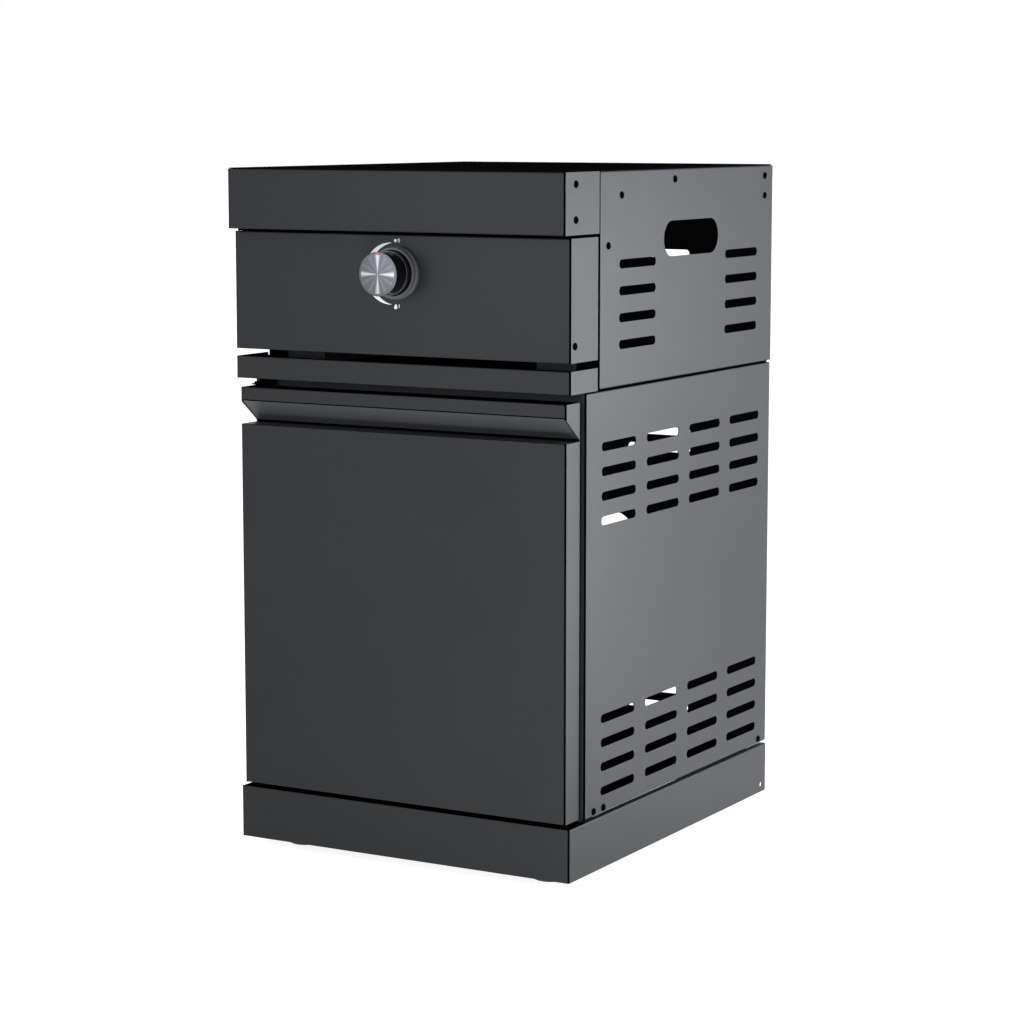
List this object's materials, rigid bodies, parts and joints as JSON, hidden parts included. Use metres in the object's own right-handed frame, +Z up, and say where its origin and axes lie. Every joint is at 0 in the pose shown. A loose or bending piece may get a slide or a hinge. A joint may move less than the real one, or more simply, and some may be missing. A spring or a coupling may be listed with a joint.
{
  "type": "outdoor kitchen side burner cabinet",
  "caption": "Free-standing sheet-steel cabinet with a gas burner let into its top, a push-and-turn knob, a hinged door, vented sides and levelling feet.",
  "frame": {"origin": "bottom centre of the bounding box at rest, knob included, on the floor under the feet", "axes": "+Z up, the front with the door and knob faces -Y, +X is to the right seen from the front"},
  "size_m": [0.5168, 0.6508, 0.9305],
  "materials": {
    "front_steel": "fine matt powder coat",
    "side_steel": "fine matt powder coat",
    "enamel": "gloss vitreous enamel",
    "cast_iron": "matt enamelled casting",
    "aluminium": "spun face",
    "brass": "turned",
    "steel": "zinc plated",
    "black_screw": "black plated",
    "black_plastic": "gloss",
    "foot_plastic": "moulded",
    "ceramic": "glazed ceramic",
    "pointer_red": "enamel fill",
    "magnet": "sintered ferrite"
  },
  "bodies": {
    "root": {"front_trim": "front_steel", "control_panel": "front_steel", "fascia_rail": "front_steel", "front_bracket_left": "front_steel", "front_bracket_right": "front_steel", "trim_screw_left_upper": "black_screw", "trim_screw_left_lower": "black_screw", "trim_screw_right_upper": "black_screw", "trim_screw_right_lower": "black_screw", "upper_side_left": "side_steel", "upper_side_right": "side_steel", "upper_back_panel": "side_steel", "upper_floor": "side_steel", "lower_side_left": "side_steel", "lower_side_right": "side_steel", "lower_back_panel": "side_steel", "cabinet_floor": "side_steel", "front_crossbar": "front_steel", "plinth_front": "front_steel", "plinth_left": "side_steel", "plinth_right": "side_steel", "base_rail_front": "front_steel", "base_rail_rear": "front_steel", "hinge_bracket_top": "steel", "hinge_bracket_bottom": "steel", "hinge_pin_top": "steel", "hinge_pin_bottom": "steel", "door_catch": "black_plastic", "catch_magnet": "magnet", "burner_pan": "enamel", "burner_base": "aluminium", "burner_crown": "brass", "ignition_electrode": "ceramic", "valve_bracket": "steel", "valve_body": "aluminium", "valve_gland": "brass", "piezo_igniter": "black_plastic", "gas_orifice": "brass", "burner_tube": "steel", "gas_pipe": "steel", "gas_inlet": "brass", "knob_bezel": "black_plastic"},
    "door": {"door_outer_panel": "front_steel", "door_inner_panel": "side_steel", "catch_plate": "steel"},
    "knob_slider": {"valve_spring": "steel"},
    "knob": {"valve_stem": "steel", "knob_body": "black_plastic", "knob_ring": "aluminium", "knob_face": "aluminium", "knob_pointer": "pointer_red"},
    "grate": {"pan_grate": "cast_iron"},
    "cap": {"burner_cap": "cast_iron"},
    "shutter": {"air_shutter": "steel"},
    "front_left_foot": {"foot_front_left": "foot_plastic"},
    "front_right_foot": {"foot_front_right": "foot_plastic"},
    "rear_left_foot": {"foot_rear_left": "foot_plastic"},
    "rear_right_foot": {"foot_rear_right": "foot_plastic"}
  },
  "joints": [
    {"name": "door_hinge", "type": "hinge", "parent": "root", "child": "door", "pos_m": [-0.2422, -0.2469, 0.364], "axis": [0, 0, -1], "range_deg": [0, 100]},
    {"name": "knob_push", "type": "slide", "parent": "root", "child": "knob_slider", "axis": [0, 1, 0], "range_m": [0, 0.003], "stiffness_N_per_m": 2000},
    {"name": "knob_turn", "type": "hinge", "parent": "knob_slider", "child": "knob", "pos_m": [0, -0.2775, 0.797], "axis": [0, 1, 0], "range_deg": [-180, 0]},
    {"name": "grate_lift", "type": "slide", "parent": "root", "child": "grate", "axis": [0, 0, 1], "range_m": [0, 0.12]},
    {"name": "cap_lift", "type": "slide", "parent": "root", "child": "cap", "axis": [0, 0, 1], "range_m": [0, 0.015]},
    {"name": "shutter_turn", "type": "hinge", "parent": "root", "child": "shutter", "pos_m": [0, -0.21, 0.797], "axis": [0, 1, 0], "range_deg": [-40, 40]},
    {"name": "foot_front_left_level", "type": "slide", "parent": "root", "child": "front_left_foot", "axis": [0, 0, -1], "range_m": [-0.008, 0.015]},
    {"name": "foot_front_right_level", "type": "slide", "parent": "root", "child": "front_right_foot", "axis": [0, 0, -1], "range_m": [-0.008, 0.015]},
    {"name": "foot_rear_left_level", "type": "slide", "parent": "root", "child": "rear_left_foot", "axis": [0, 0, -1], "range_m": [-0.008, 0.015]},
    {"name": "foot_rear_right_level", "type": "slide", "parent": "root", "child": "rear_right_foot", "axis": [0, 0, -1], "range_m": [-0.008, 0.015]}
  ]
}
